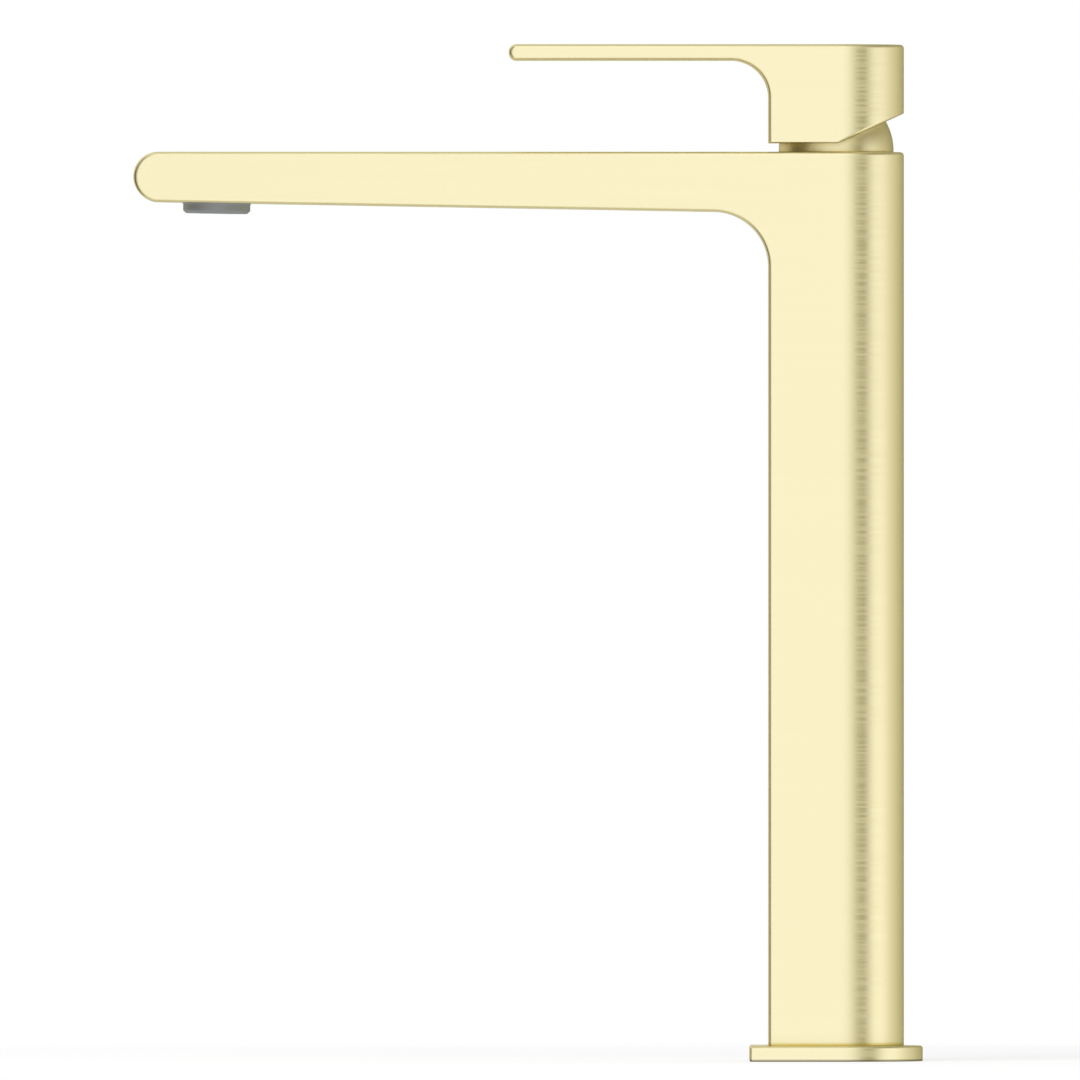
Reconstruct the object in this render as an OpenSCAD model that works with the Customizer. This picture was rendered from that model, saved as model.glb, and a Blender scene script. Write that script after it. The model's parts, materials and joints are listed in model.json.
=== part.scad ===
// Tall single-lever basin mixer: a D-shaped column on a base plate, a long flat spout and a flat lever.
// Millimetres. The origin is on the column's axis at the deck, +Z is up and the spout points along -X.

/* [Column] */
// Width of the column, the spout and the lever, and depth of the column
body_w = 42; // [41:0.5:46]
// Height of the column's flat top above the deck
body_h = 281.7; // [200:0.1:340]
// Wall of the hollow column
column_wall = 2.8; // [2.2:0.1:3.4]
// Radius of the upright corners at the flat front
corner_r = 0.8; // [0.4:0.1:2]
// Thickness of the web across the column's foot, which takes the fixing studs
foot_web_t = 12; // [8:0.5:20]
// Thickness of the ledge that carries the valve seat
ledge_t = 4; // [3:0.5:8]

/* [Base plate] */
// How far the base plate stands out past the column all round
plate_overhang = 5.85; // [4.5:0.05:9]
// Thickness of the base plate
plate_t = 4.8; // [4:0.1:8]
// Height of the spigot that centres the base plate in the column
spigot_h = 3; // [2:0.5:6]
// Wall of that spigot
spigot_wall = 1.4; // [1:0.1:2]
// From the base plate's edge to its seal
seal_inset = 2; // [1.5:0.1:3]
// Width of the flat deck seal
seal_w = 3; // [2:0.1:4]
// Thickness of the flat deck seal
seal_t = 1.8; // [1:0.1:2.4]

/* [Deck fixing and inlets] */
// Radius of the tapped hole for an M6 fixing stud
stud_tap_r = 2.5; // [2.1:0.1:3.3]
// Metal between a stud hole and the hose slot
stud_wall = 1.3; // [1:0.1:1.8]
// Width of the slot that the two supply hoses pass through
hose_slot_w = 14.4; // [13:0.2:15]
// Distance between the two hose inlets
inlet_pitch = 15; // [14:0.5:15.5]
// Radius of the inlet's tapped hole, for an M10x1 hose end
inlet_r = 4.46; // [4:0.02:4.6]
// Depth of the inlet's tapped hole
inlet_depth = 9.5; // [8:0.5:10]

/* [Spout] */
// From the column's axis to the aerator's axis
spout_reach = 192; // [120:1:230]
// From the aerator's axis to the tip of the rounded nose
nose_l = 25.7; // [24:0.1:40]
// Height of the rounded nose
nose_h = 15.4; // [14.5:0.1:20]
// Slope of the spout's underside, in degrees
spout_slope = 1; // [0.5:0.1:2.5]
// Radius of the fillet between the spout and the column
spout_fillet = 17; // [6:0.5:40]
// Wall of the hollow spout
spout_wall = 2.5; // [2:0.1:2.8]
// Radius of the water port between the valve seat and the spout
water_port_r = 3.8; // [3:0.1:4.5]

/* [Aerator] */
// Diameter of the ring that shows below the spout
aerator_d = 20.8; // [18:0.1:22]
// How far that ring stands out of the spout
aerator_drop = 3.3; // [2.5:0.1:5]
// Depth of the aerator's tapped seat
aerator_seat = 5.3; // [5.1:0.1:6]
// Chamfer round the ring's lower edge
aerator_chamfer = 0.9; // [0.3:0.1:1.1]
// Step from the ring up to its thread
aerator_step = 0.25; // [0.1:0.05:0.5]
// Thickness of the aerator's rubber washer
aerator_seal_t = 1; // [0.8:0.1:1.2]
// Radius of one jet hole
jet_r = 0.6; // [0.4:0.05:0.8]
// Rings of jet holes round the middle one
jet_rings = 3; // [1:1:3]

/* [Lever] */
// Gap between the lever's hub and the top of the column
lever_gap = 2.9; // [2.5:0.1:4]
// Height of the lever's hub
hub_h = 30.4; // [29:0.1:38]
// From the column's axis to the tip of the blade
lever_reach = 101.5; // [70:0.5:130]
// Thickness of the blade
blade_t = 4.8; // [3.6:0.1:6]
// Radius of the fillet between the blade and the hub
lever_fillet = 11.5; // [5:0.5:13]
// How far the lever lifts, in degrees
lift_angle = 24; // [18:1:25]
// From the column's axis back to where the hub's underside turns up
cut_start = 0.5; // [0:0.1:4]
// From the column's axis to the middle of the hot and cold mark
mark_reach = 92.4; // [40:0.1:94]
// Diameter of the mark
mark_d = 3.8; // [3:0.1:6]
// How far the mark stands out of the blade
mark_proud = 0.15; // [0.05:0.05:0.3]

/* [Dome] */
// Radius of the domed cover
dome_r = 17.8; // [17.6:0.1:18.2]
// Height of the lever's pivot above the top of the column
pivot_rise = 0.6; // [0.4:0.1:1]
// Wall of the domed cover
dome_wall = 1.5; // [1.2:0.1:1.6]
// Gap between the domed cover and the hollow of the lever
cavity_gap = 0.7; // [0.5:0.1:1]

/* [Cartridge] */
// Diameter of the cartridge
cartridge_d = 25; // [24.6:0.1:25.2]
// Wall of the cartridge's housing
housing_wall = 1.8; // [1.6:0.1:2]
// From the pivot down to the middle of the stem's ball end
stem_reach = 8; // [7.6:0.1:9]
// Width across the stem's flats
stem_w = 7; // [6:0.1:7.4]
// Radius of the stem's ball end
ball_r = 2.3; // [2.1:0.1:2.4]
// Radius of the pivot pin
pin_r = 1.5; // [1.2:0.1:1.8]
// Thickness of the moving ceramic disc
moving_disc_t = 3.5; // [3:0.1:5]
// Thickness of the fixed ceramic disc
fixed_disc_t = 4; // [3:0.1:6]
// How far the lever turns to each side, in degrees
mix_angle = 50; // [30:5:60]
// Thickness of the stop ring
stop_ring_t = 1.8; // [1.4:0.1:2.2]
// Radius of the grub screw, for M5
grub_r = 2.5; // [2:0.1:3]
// Length of the grub screw
grub_l = 8; // [5:0.5:10]

/* [Clearances] */
// Between turning or sliding plastic parts
run_clear = 0.08; // [0.04:0.01:0.1]
// Between a part and the seat that it drops into
seat_clear = 0.1; // [0.05:0.01:0.15]
// Between the two lapped discs
lap_gap = 0.02; // [0.01:0.01:0.04]

/* [Hidden] */
$fn = 96;
// Overrun of a cut past the face that it opens
cut = 1;

// Finishes
brass_colour = "#F1E7B4";
raw_brass_colour = "#C9A656";
plastic_colour = "#E4E3DC";
ceramic_colour = "#F4F1EA";
rubber_colour = "#33332F";
grey_colour = "#85867F";
steel_colour = "#B9BBBD";
stop_colour = "#C8553D";
hot_colour = "#B23A3A";
cold_colour = "#3A5BA8";

// Column and base plate
body_r = body_w / 2;
bore_r = body_r - column_wall;
plate_r = body_r + plate_overhang;
spigot_clear = 0.2;
spigot_r = bore_r - spigot_clear;
plate_hole_r = spigot_r - spigot_wall;
seal_outer_r = plate_r - seal_inset;
seal_inner_r = seal_outer_r - seal_w;
web_z = plate_t + spigot_h;
web_top_z = web_z + foot_web_t;
stud_pitch = hose_slot_w + 2 * (stud_wall + stud_tap_r);

// Spout, seen from the side
tip_r = nose_h / 2;
tip_x = -(spout_reach + nose_l - tip_r);
tip_z = body_h - tip_r;
// Height of the spout's underside at x
function under_z(x) = tip_z - (tip_r + sin(spout_slope) * (x - tip_x)) / cos(spout_slope);
fillet_x = -body_r - spout_fillet;
fillet_z = under_z(fillet_x) - spout_fillet / cos(spout_slope);

// Pivot and the stack of parts under it. The housing's shoulder lies just under the pivot, its collar
// and the seat's neck rise above it
pivot_z = body_h + pivot_rise;
stroke = stem_reach * sin(lift_angle);
ball_clear = 0.15;
coupler_web = 0.8;
coupler_bottom_z = pivot_z - stem_reach - ball_r - 2 * seat_clear - coupler_web;
disc_top_z = coupler_bottom_z - moving_disc_t;
base_top_z = disc_top_z - lap_gap - fixed_disc_t;
base_spigot_h = 3;
base_flange_t = 3.5;
housing_bottom_z = base_top_z - base_spigot_h;
seat_floor_z = housing_bottom_z - base_flange_t;
housing_roof_t = 2.2;
shoulder_drop = 0.3;
shoulder_z = pivot_z - shoulder_drop;
roof_z = shoulder_z - housing_roof_t;
housing_r = cartridge_d / 2;
housing_bore_r = housing_r - housing_wall;
roof_lip = 2.1;
barrel_r = housing_bore_r - roof_lip;
collar_wall = 1.7;
collar_r = barrel_r + run_clear + collar_wall;
collar_rise = 5;
collar_top_z = pivot_z + collar_rise;

// Stem and the carrier that it swings in
stem_half = stem_w / 2;
stem_neck_r = 1.4;
swing_clear = 0.4;
// How far the stem's edge reaches from the axis at a height above the pivot, with the lever lifted
function swing_at(h) = h * tan(lift_angle) + stem_half / cos(lift_angle);
carrier_top_z = collar_top_z + stop_ring_t;
carrier_flange_t = 3;
carrier_flange_z = roof_z - run_clear - carrier_flange_t;
carrier_slot = swing_at(carrier_top_z - pivot_z) + swing_clear;
carrier_r = housing_bore_r - run_clear;
carrier_flat = 6.9;
coupler_top_z = carrier_flange_z - 2 * seat_clear;
disc_margin = 0.25;
disc_r = housing_bore_r - stroke / 2 - disc_margin;
disc_recess_wall = 2;
disc_recess_x = 2.2;
stop_lug_w = 3;
stop_lug_r = collar_r - 2 * seat_clear;
stop_slack = 2;
stop_half = mix_angle + asin(stop_lug_w / 2 / barrel_r) + stop_slack;

// Ports through the discs, the cartridge's base and the seat
inlet_port = [-3.5, 4.6];
inlet_port_r = 2;
outlet_port_x = 4.5;
outlet_port_r = 2.4;
port_seal_w = 1.3;
port_seal_t = 1.2;
index_pin = [7.5, 7.5];
index_pin_r = 1.1;
index_pin_h = 2;

// Valve seat, its lock ring and the threads above it
dome_lip = 0.5;
dome_thread_wall = 2.05;
thread_clear = 0.15;
seat_bore_r = dome_r - dome_lip;
seat_r = seat_bore_r - 2 * seat_clear;
dome_thread_r = dome_r - dome_thread_wall;
neck_r = dome_thread_r - thread_clear;
neck_wall = 1.6;
nut_r = neck_r - neck_wall - seat_clear;
chamber_r = housing_r + seat_clear;
neck_rise = 4.4;
neck_top_z = pivot_z + neck_rise;
lock_ring_t = 4;
lock_ring_z = body_h - lock_ring_t;
seat_floor_t = 11.7;
ledge_z = seat_floor_z - seat_floor_t;
inlet_margin = 2;
ledge_r = inlet_pitch / 2 + inlet_r + inlet_margin;
o_ring_r = 0.95;
o_groove_w = 2.3;
o_groove_r = seat_bore_r - 2 * o_ring_r - seat_clear;
o_land = 0.6;
chamber_wall = 1.8;
gallery_r = chamber_r + chamber_wall;
gallery_top_z = lock_ring_z - o_groove_w - 2 * o_land;
foot_land = 2;
gallery_bottom_z = ledge_z + foot_land + o_groove_w + 2 * o_land;
o_ring_zs = [gallery_bottom_z - o_land - o_groove_w / 2, gallery_top_z + o_land + o_groove_w / 2];
port_margin = 0.2;
cross_z = gallery_bottom_z + outlet_port_r + port_margin;
water_port_z = gallery_top_z - water_port_r - port_margin;
spout_web = 2.8;
hollow_x = -seat_bore_r - spout_web;

// Retaining nut and domed cover
nut_bore_r = collar_r + 2 * seat_clear;
nut_flats = 24;
nut_head_h = 3.2;
nut_top_z = neck_top_z + nut_head_h;
dome_inner_r = dome_r - dome_wall;
dome_thread_top_z = neck_top_z + 2 * seat_clear;
dome_mouth_h = 13.8;
mouth_clear = 0.7;
dome_mouth_r = sqrt(pow(swing_at(dome_mouth_h), 2) + pow(stem_half, 2)) + mouth_clear;
dome_seal_r = 0.45;
dome_groove_w = 1.1;
dome_groove_h = 1;
dome_seal_ring_r = (dome_thread_r + dome_r) / 2;

// Lever
cavity_r = dome_r + cavity_gap;
hub_z = body_h + lever_gap;
lever_top_z = hub_z + hub_h;
blade_z = lever_top_z - blade_t;
lever_fillet_x = -body_r - lever_fillet;
lever_fillet_z = blade_z - lever_fillet;
blade_end_x = -lever_reach + blade_t / 2;
cut_rise = (body_r - cut_start) * tan(lift_angle);
hub_back_r = 1;
socket_clear = 0.05;
stem_roof = 3.2;
stem_top_z = lever_top_z - stem_roof - seat_clear;
grub_wall = 1;
grub_z = pivot_z + cavity_r + grub_wall + grub_r;
grub_hex_w = 2.5;
grub_hex_depth = 3;
plug_gap = 0.3;
plug_l = 4;
mark_r = mark_d / 2;
mark_seat = 0.75;
mark_split = 0.2;

// Aerator, along its own axis from the spout's underside
thread_r = aerator_d / 2 + aerator_step;
boss_wall = 2.4;
boss_roof = 1.3;
water_mouth_r = 8;
lip_t = 1;
lip_wall = 2.2;
lip_r = aerator_d / 2 - lip_wall;
insert_wall = 1.6;
insert_r = aerator_d / 2 - insert_wall;
housing_top = aerator_seat - aerator_seal_t;
screen_t = 0.6;
regulator_t = 1.8;
regulator_rim = 2.6;
regulator_r = insert_r - regulator_rim;
core_bottom = lip_t - aerator_drop;
core_top = housing_top - screen_t - regulator_t - seat_clear;
jet_rim = 0.6;
key_slots = 6;
key_slot_w = 2;

// A D: half a circle behind, a flat front, and small round front corners
module d_plan(r, corner) {
    circle(r);
    translate([corner - r, -r]) square([r - corner, 2 * r]);
    translate([-r, corner - r]) square([r, 2 * (r - corner)]);
    for (side = [-1, 1]) translate([corner - r, side * (r - corner)]) circle(corner, $fn = 32);
}

// Turns a drawing in x and z into a slab across y
module across(width) {
    translate([0, width / 2, 0]) rotate([90, 0, 0]) linear_extrude(width) children();
}

// A ring of rectangular section
module ring(inner, outer, z, h) {
    translate([0, 0, z]) difference() {
        cylinder(r = outer, h = h);
        translate([0, 0, -cut]) cylinder(r = inner, h = h + 2 * cut);
    }
}

// A ring of round section
module o_ring(ring_r, section_r, z) {
    translate([0, 0, z]) rotate_extrude() translate([ring_r, 0]) circle(section_r, $fn = 32);
}

// Places something at the aerator's seat, square to the sloping underside
module at_outlet() {
    translate([-spout_reach, 0, under_z(-spout_reach)]) rotate([0, spout_slope, 0]) children();
}

// The column and the spout from the side
module body_side() {
    translate([-body_r, plate_t]) square([body_w, body_h - plate_t]);
    translate([tip_x, tip_z]) circle(tip_r);
    polygon([[tip_x, body_h], [0, body_h], [0, under_z(0)],
        [tip_x - tip_r * sin(spout_slope), tip_z - tip_r * cos(spout_slope)]]);
    difference() {
        polygon([[fillet_x + spout_fillet * sin(spout_slope), fillet_z + spout_fillet * cos(spout_slope)],
            [fillet_x + spout_fillet * sin(spout_slope), fillet_z + spout_fillet * cos(spout_slope) + cut],
            [cut - body_r, fillet_z + spout_fillet + cut], [cut - body_r, fillet_z], [-body_r, fillet_z]]);
        translate([fillet_x, fillet_z]) circle(spout_fillet, $fn = 192);
    }
}

// The column and the spout from above
module body_plan() {
    d_plan(body_r, corner_r);
    translate([-spout_reach - nose_l - cut, -body_r]) square([spout_reach + nose_l + cut, body_w]);
}

// The hollow of the spout from the side
module spout_hollow_side() {
    translate([tip_x, tip_z]) circle(tip_r - spout_wall);
    polygon([[tip_x, body_h - spout_wall], [hollow_x, body_h - spout_wall],
        [hollow_x, under_z(hollow_x) + spout_wall], [tip_x, tip_z - tip_r + spout_wall]]);
}

// The slot that both hoses pass through
module hose_slot(h) {
    translate([-hose_slot_w / 2, -inlet_pitch / 2, 0]) cube([hose_slot_w, inlet_pitch, h]);
    for (side = [-1, 1]) translate([0, side * inlet_pitch / 2, 0]) cylinder(d = hose_slot_w, h = h);
}

// Everything that is cut out of the column
module column_cuts() {
    translate([0, 0, web_top_z]) linear_extrude(ledge_z - ledge_t - web_top_z) d_plan(bore_r, corner_r);
    translate([0, 0, plate_t - cut]) linear_extrude(spigot_h + cut) d_plan(bore_r, corner_r);
    translate([0, 0, web_z - cut]) hose_slot(foot_web_t + 2 * cut);
    for (side = [-1, 1])
        translate([side * stud_pitch / 2, 0, web_z - cut])
            cylinder(r = stud_tap_r, h = foot_web_t + 2 * cut);
    translate([0, 0, ledge_z - ledge_t - cut]) cylinder(r = ledge_r, h = ledge_t + 2 * cut);
    translate([0, 0, ledge_z]) cylinder(r = seat_bore_r, h = body_h - ledge_z + cut);
}

module body_casting() {
    color(brass_colour) difference() {
        union() {
            difference() {
                intersection() {
                    across(body_w + 2 * cut) body_side();
                    translate([0, 0, plate_t - cut]) linear_extrude(body_h) body_plan();
                }
                across(body_w - 2 * spout_wall) spout_hollow_side();
            }
            at_outlet() translate([0, 0, spout_wall / 2])
                cylinder(r = thread_r + boss_wall, h = aerator_seat + boss_roof - spout_wall / 2);
        }
        column_cuts();
        translate([hollow_x - cut, 0, water_port_z]) rotate([0, 90, 0])
            cylinder(r = water_port_r, h = spout_web + 3 * cut);
        at_outlet() translate([0, 0, -cut]) cylinder(r = thread_r + seat_clear, h = aerator_seat + cut);
        at_outlet() cylinder(r = water_mouth_r, h = aerator_seat + boss_roof + cut);
    }
}

module base_plate() {
    color(brass_colour) difference() {
        union() {
            linear_extrude(plate_t) d_plan(plate_r, corner_r);
            cylinder(r = spigot_r, h = plate_t + spigot_h);
        }
        translate([0, 0, -cut]) cylinder(r = plate_hole_r, h = plate_t + spigot_h + 2 * cut);
        translate([0, 0, -cut]) linear_extrude(cut + seal_t + seat_clear) difference() {
            d_plan(seal_outer_r + seat_clear, corner_r);
            d_plan(seal_inner_r - seat_clear, corner_r);
        }
    }
}

module deck_seal() {
    color(rubber_colour) linear_extrude(seal_t) difference() {
        d_plan(seal_outer_r, corner_r);
        d_plan(seal_inner_r, corner_r);
    }
}

// The three water ways, as upright holes
module port_holes(z, h, extra) {
    for (side = [-1, 1])
        translate([inlet_port.x, side * inlet_port.y, z])
            cylinder(r = inlet_port_r + extra, h = h, $fn = 48);
    translate([outlet_port_x, 0, z]) cylinder(r = outlet_port_r + extra, h = h, $fn = 48);
}

// The two pins that index the cartridge in its seat
module index_pins(z, h, extra) {
    for (side = [-1, 1])
        translate([index_pin.x, side * index_pin.y, z]) cylinder(r = index_pin_r + extra, h = h, $fn = 32);
}

module valve_seat() {
    color(raw_brass_colour) difference() {
        union() {
            translate([0, 0, ledge_z]) cylinder(r = seat_r, h = lock_ring_z - ledge_z);
            translate([0, 0, lock_ring_z]) cylinder(r = neck_r, h = neck_top_z - lock_ring_z);
        }
        ring(gallery_r, seat_r + cut, gallery_bottom_z, gallery_top_z - gallery_bottom_z);
        for (z = o_ring_zs) ring(o_groove_r, seat_r + cut, z - o_groove_w / 2, o_groove_w);
        translate([0, 0, seat_floor_z]) cylinder(r = chamber_r, h = neck_top_z - seat_floor_z + cut);
        translate([0, 0, shoulder_z - cut])
            cylinder(r = nut_r + seat_clear, h = neck_top_z - shoulder_z + 2 * cut);
        index_pins(seat_floor_z - index_pin_h - seat_clear, index_pin_h + cut, seat_clear);
        for (side = [-1, 1]) {
            translate([0, side * inlet_pitch / 2, ledge_z - cut])
                cylinder(r = inlet_r, h = inlet_depth + cut);
            translate([inlet_port.x, side * inlet_port.y, ledge_z + inlet_depth - cut])
                cylinder(r = inlet_port_r, h = seat_floor_z - ledge_z - inlet_depth + 2 * cut, $fn = 48);
        }
        translate([outlet_port_x, 0, cross_z]) {
            cylinder(r = outlet_port_r, h = seat_floor_z - cross_z + cut, $fn = 48);
            rotate([0, 90, 0]) cylinder(r = outlet_port_r, h = seat_r, $fn = 48);
        }
    }
}

module seat_o_rings() {
    color(rubber_colour) for (z = o_ring_zs) o_ring(seat_bore_r - o_ring_r - seat_clear / 2, o_ring_r, z);
}

module seat_lock_ring() {
    color(raw_brass_colour)
        ring(neck_r + seat_clear, seat_bore_r - seat_clear, lock_ring_z, lock_ring_t);
}

module cartridge_base() {
    color(plastic_colour) difference() {
        union() {
            translate([0, 0, seat_floor_z]) cylinder(r = housing_r, h = base_flange_t);
            translate([0, 0, seat_floor_z])
                cylinder(r = housing_bore_r - seat_clear, h = base_top_z - seat_floor_z);
            index_pins(seat_floor_z - index_pin_h, index_pin_h + cut, 0);
        }
        port_holes(seat_floor_z - cut, base_top_z - seat_floor_z + 2 * cut, 0);
        port_holes(seat_floor_z - cut, port_seal_t + cut, port_seal_w + seat_clear);
    }
}

module port_seals() {
    color(rubber_colour) difference() {
        port_holes(seat_floor_z, port_seal_t, port_seal_w);
        port_holes(seat_floor_z - cut, port_seal_t + 2 * cut, seat_clear);
    }
}

module fixed_disc() {
    color(ceramic_colour) difference() {
        translate([0, 0, base_top_z]) cylinder(r = housing_bore_r - seat_clear, h = fixed_disc_t);
        port_holes(base_top_z - cut, fixed_disc_t + 2 * cut, 0);
    }
}

module cartridge_housing() {
    color(plastic_colour) difference() {
        union() {
            translate([0, 0, housing_bottom_z]) cylinder(r = housing_r, h = shoulder_z - housing_bottom_z);
            translate([0, 0, shoulder_z]) cylinder(r = collar_r, h = collar_top_z - shoulder_z);
        }
        translate([0, 0, housing_bottom_z - cut])
            cylinder(r = housing_bore_r, h = roof_z - housing_bottom_z + cut);
        translate([0, 0, roof_z - cut])
            cylinder(r = barrel_r + run_clear, h = collar_top_z - roof_z + 2 * cut);
    }
}

// Open over the angle that the carrier's lug may sweep
module stop_ring() {
    color(stop_colour) translate([0, 0, collar_top_z]) rotate([0, 0, stop_half])
        rotate_extrude(angle = 360 - 2 * stop_half)
        translate([barrel_r + 2 * seat_clear, 0]) square([collar_wall - 2 * seat_clear, stop_ring_t]);
}

module retaining_nut() {
    color(raw_brass_colour) difference() {
        union() {
            translate([0, 0, shoulder_z]) cylinder(r = nut_r, h = neck_top_z - shoulder_z);
            translate([0, 0, neck_top_z]) cylinder(d = nut_flats / cos(30), h = nut_head_h, $fn = 6);
        }
        translate([0, 0, shoulder_z - cut]) cylinder(r = nut_bore_r, h = nut_top_z - shoulder_z + 2 * cut);
    }
}

module dome_cover() {
    color(brass_colour) difference() {
        intersection() {
            translate([0, 0, pivot_z]) sphere(dome_r, $fn = 128);
            translate([0, 0, body_h]) cylinder(r = dome_r + cut, h = dome_r + cut);
        }
        intersection() {
            translate([0, 0, pivot_z]) sphere(dome_inner_r, $fn = 128);
            translate([0, 0, dome_thread_top_z - cut]) cylinder(r = dome_thread_r, h = dome_r);
        }
        translate([0, 0, body_h - cut]) cylinder(r = dome_thread_r, h = dome_thread_top_z - body_h + cut);
        translate([0, 0, body_h]) cylinder(r = dome_mouth_r, h = dome_r + cut);
        ring(dome_seal_ring_r - dome_groove_w / 2, dome_seal_ring_r + dome_groove_w / 2,
            body_h - cut, dome_groove_h + cut);
    }
}

module dome_seal() {
    color(rubber_colour) o_ring(dome_seal_ring_r, dome_seal_r, body_h + dome_groove_h / 2);
}

// An upright hole through the core, at a distance from its middle
module jet_hole(reach) {
    translate([reach, 0, core_bottom - cut])
        cylinder(r = jet_r, h = core_top - core_bottom + 2 * cut, $fn = 24);
}

// The housing's outside, from its chamfered foot to its thread
module aerator_outside() {
    rotate_extrude() polygon([[0, -aerator_drop], [aerator_d / 2 - aerator_chamfer, -aerator_drop],
        [aerator_d / 2, aerator_chamfer - aerator_drop], [aerator_d / 2, -2 * aerator_step],
        [thread_r, -aerator_step], [thread_r, housing_top], [0, housing_top]]);
}

module aerator_housing() {
    color(grey_colour) at_outlet() difference() {
        aerator_outside();
        translate([0, 0, core_bottom])
            cylinder(r = insert_r + seat_clear, h = housing_top - core_bottom + cut);
        translate([0, 0, -aerator_drop - cut]) cylinder(r = lip_r, h = lip_t + 2 * cut);
        for (k = [0 : key_slots - 1]) rotate([0, 0, k * 360 / key_slots])
            translate([0, -key_slot_w / 2, -aerator_drop - cut])
                cube([insert_r, key_slot_w, lip_t + 2 * cut]);
    }
}

module aerator_core() {
    color(grey_colour) at_outlet() difference() {
        translate([0, 0, core_bottom]) cylinder(r = insert_r, h = core_top - core_bottom);
        jet_hole(0);
        for (k = [1 : jet_rings]) for (i = [0 : 6 * k - 1]) rotate([0, 0, i * 60 / k])
            jet_hole(k * (lip_r - jet_r - jet_rim) / jet_rings);
    }
}

module flow_regulator() {
    color(plastic_colour) at_outlet() ring(regulator_r / 3, regulator_r, core_top, regulator_t);
}

module aerator_screen() {
    color(steel_colour) at_outlet() translate([0, 0, housing_top - screen_t])
        cylinder(r = insert_r, h = screen_t);
}

module aerator_seal() {
    color(rubber_colour) at_outlet() ring(water_mouth_r, thread_r - seat_clear, housing_top, aerator_seal_t);
}

// The turning piece that holds the stem's pin and leads the disc coupler
module stem_carrier() {
    color(plastic_colour) difference() {
        union() {
            translate([0, 0, carrier_flange_z]) cylinder(r = barrel_r, h = carrier_top_z - carrier_flange_z);
            translate([0, 0, carrier_flange_z]) cylinder(r = carrier_r, h = carrier_flange_t);
            translate([0, 0, coupler_bottom_z + 2 * seat_clear]) difference() {
                cylinder(r = carrier_r, h = carrier_flange_z - coupler_bottom_z);
                translate([-cartridge_d, -carrier_flat, -cut])
                    cube([2 * cartridge_d, 2 * carrier_flat, cartridge_d]);
            }
            translate([0, -stop_lug_w / 2, collar_top_z + seat_clear])
                cube([stop_lug_r, stop_lug_w, stop_ring_t - seat_clear]);
        }
        translate([-carrier_slot, -stem_half - run_clear, carrier_flange_z - cut])
            cube([2 * carrier_slot, stem_w + 2 * run_clear, carrier_top_z - carrier_flange_z + 2 * cut]);
        translate([0, 0, pivot_z]) rotate([90, 0, 0])
            cylinder(r = pin_r + lap_gap, h = 2 * barrel_r, center = true, $fn = 48);
    }
}

module pivot_pin() {
    color(steel_colour) translate([0, 0, pivot_z]) rotate([90, 0, 0])
        cylinder(r = pin_r, h = 2 * (barrel_r - 0.4), center = true, $fn = 48);
}

// The disc's outline, with flats for the carrier's cheeks
module coupler_plan() {
    intersection() {
        translate([stroke / 2, 0]) circle(disc_r);
        translate([-cartridge_d, seat_clear - carrier_flat])
            square([2 * cartridge_d, 2 * (carrier_flat - seat_clear)]);
    }
}

module disc_coupler() {
    color(plastic_colour) difference() {
        translate([0, 0, coupler_bottom_z]) linear_extrude(coupler_top_z - coupler_bottom_z) coupler_plan();
        translate([0, 0, coupler_bottom_z + coupler_web])
            cylinder(r = ball_r + ball_clear, h = cartridge_d, $fn = 48);
    }
}

module moving_disc() {
    color(ceramic_colour) difference() {
        translate([stroke / 2, 0, disc_top_z]) cylinder(r = disc_r, h = moving_disc_t);
        translate([stroke / 2, 0, disc_top_z - cut]) intersection() {
            cylinder(r = disc_r - disc_recess_wall, h = moving_disc_t / 2 + cut);
            translate([-disc_recess_x, -cartridge_d, 0]) cube([cartridge_d, 2 * cartridge_d, cartridge_d]);
        }
    }
}

module stem() {
    color(steel_colour) difference() {
        union() {
            translate([-stem_half, -stem_half, pivot_z - stem_half])
                cube([stem_w, stem_w, stem_top_z - pivot_z + stem_half]);
            translate([0, 0, pivot_z - stem_reach]) cylinder(r = stem_neck_r, h = stem_reach, $fn = 48);
            translate([0, 0, pivot_z - stem_reach]) sphere(ball_r, $fn = 48);
        }
        translate([0, 0, pivot_z]) rotate([90, 0, 0])
            cylinder(r = pin_r + run_clear / 2, h = 2 * stem_w, center = true, $fn = 48);
    }
}

// The lever from the side
module lever_side() {
    difference() {
        union() {
            translate([-body_r, hub_z]) square([body_w - hub_back_r, hub_h]);
            translate([0, hub_z]) square([body_r, hub_h - hub_back_r]);
            translate([body_r - hub_back_r, lever_top_z - hub_back_r]) circle(hub_back_r, $fn = 32);
            translate([blade_end_x, blade_z]) square([-blade_end_x, blade_t]);
            translate([blade_end_x, blade_z + blade_t / 2]) circle(blade_t / 2, $fn = 64);
            difference() {
                translate([lever_fillet_x, lever_fillet_z]) square([lever_fillet + cut, lever_fillet + cut]);
                translate([lever_fillet_x, lever_fillet_z]) circle(lever_fillet, $fn = 128);
            }
        }
        polygon([[cut_start, hub_z], [cut_start, hub_z - cut], [body_r + cut, hub_z - cut],
            [body_r + cut, hub_z + cut_rise + cut * tan(lift_angle)]]);
    }
}

// The lever from above
module lever_plan() {
    d_plan(body_r, corner_r);
    translate([-lever_reach - cut, -body_r]) square([lever_reach + cut, body_w]);
}

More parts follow.
